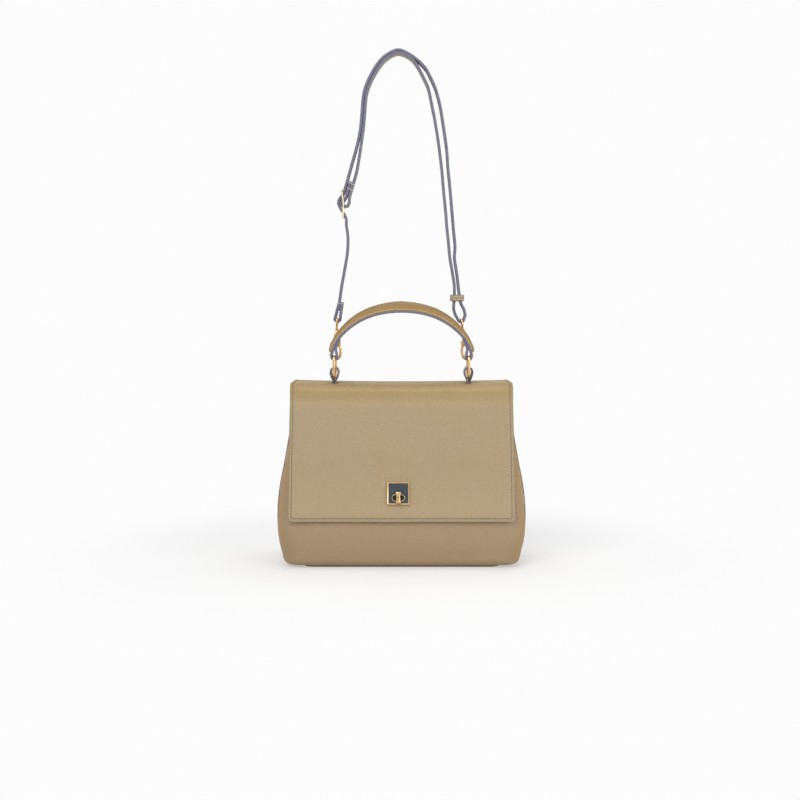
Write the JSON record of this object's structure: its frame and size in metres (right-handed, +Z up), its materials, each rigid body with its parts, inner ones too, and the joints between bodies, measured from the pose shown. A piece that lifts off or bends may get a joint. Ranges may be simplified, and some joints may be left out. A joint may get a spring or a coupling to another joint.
{
  "type": "top-handle shoulder bag",
  "caption": "Structured leather satchel with a front flap and turn lock, a rounded top handle on metal rings, and a long adjustable shoulder strap on snap hooks.",
  "frame": {"origin": "centre of the base's underside, on the ground", "axes": "+Z up, the flap and its lock face -Y, +X to the viewer's right"},
  "size_m": [0.314, 0.1499, 0.6664],
  "materials": {
    "tan_leather": "pebble grain, satin",
    "edge_leather": "painted cut edge, satin",
    "gold": "polished, light gold",
    "dark_plate": "dark mirror enamel",
    "cloth": "woven lining",
    "board": "bonded leather board, matt"
  },
  "bodies": {
    "bag_body": {"base_panel": "tan_leather", "base_board": "board", "front_panel": "tan_leather", "back_panel": "tan_leather", "gusset_left": "tan_leather", "gusset_right": "tan_leather", "front_stiffener": "board", "rear_stiffener": "board", "lining": "cloth", "flap_tail": "tan_leather", "lock_base": "gold", "lock_washer": "gold", "zip_tape": "cloth"},
    "flap": {"flap_leather": "tan_leather", "flap_lining": "tan_leather", "lock_frame": "gold", "lock_face": "dark_plate", "lock_oval_rim": "gold", "lock_back_plate": "gold", "chape_left": "edge_leather", "chape_right": "edge_leather"},
    "turn_knob": {"turn_knob": "gold"},
    "zip_slider": {"zip_slider": "gold"},
    "ring_left": {"ring_left": "gold"},
    "ring_right": {"ring_right": "gold"},
    "handle": {"handle_strap": "edge_leather", "handle_pad": "tan_leather"},
    "strap": {"shoulder_strap": "edge_leather", "slider": "gold", "hook_left": "gold", "hook_right": "gold", "gate_pin_left": "gold", "gate_pin_right": "gold", "eye_left": "gold", "eye_right": "gold"},
    "gate_left": {"gate_left": "gold"},
    "gate_right": {"gate_right": "gold"},
    "strap_keeper": {"strap_keeper": "tan_leather"}
  },
  "joints": [
    {"name": "flap_open", "type": "hinge", "parent": "bag_body", "child": "flap", "pos_m": [0, 0.038, 0.221], "axis": [-1, 0, 0], "range_deg": [0, 120]},
    {"name": "knob_turn", "type": "hinge", "parent": "bag_body", "child": "turn_knob", "pos_m": [-0.004, -0.07719, 0.08998], "axis": [0, -0.9886, 0.1508], "range_deg": [0, 90]},
    {"name": "zip_run", "type": "slide", "parent": "bag_body", "child": "zip_slider", "axis": [1, 0, 0], "range_m": [0, 0.132]},
    {"name": "ring_left_sway", "type": "hinge", "parent": "flap", "child": "ring_left", "pos_m": [-0.087, 0, 0.2356], "axis": [0, 1, 0], "range_deg": [-30, 30]},
    {"name": "ring_right_sway", "type": "hinge", "parent": "flap", "child": "ring_right", "pos_m": [0.087, 0, 0.2356], "axis": [0, 1, 0], "range_deg": [-30, 30]},
    {"name": "handle_level", "type": "hinge", "parent": "ring_left", "child": "handle", "pos_m": [-0.087, 0, 0.263], "axis": [0, 1, 0], "range_deg": [-30, 30]},
    {"name": "strap_tilt", "type": "hinge", "parent": "handle", "child": "strap", "pos_m": [0, 0.0157, 0.263], "axis": [-1, 0, 0], "range_deg": [0, 22]},
    {"name": "gate_left_open", "type": "hinge", "parent": "strap", "child": "gate_left", "pos_m": [-0.08942, 0.0157, 0.28018], "axis": [0, -1, 0], "range_deg": [0, 20], "stiffness_Nm_per_rad": 0.004, "springref_deg": -17.19},
    {"name": "gate_right_open", "type": "hinge", "parent": "strap", "child": "gate_right", "pos_m": [0.08731, 0.0157, 0.28035], "axis": [0, 1, 0], "range_deg": [0, 20], "stiffness_Nm_per_rad": 0.004, "springref_deg": -17.19},
    {"name": "keeper_slide", "type": "slide", "parent": "strap", "child": "strap_keeper", "axis": [-0.0995, 0, 0.995], "range_m": [0, 0.015]}
  ],
  "couplings": [
    {"joint": "ring_right_sway", "follows": "ring_left_sway", "ratio": 1},
    {"joint": "handle_level", "follows": "ring_left_sway", "ratio": -1}
  ]
}
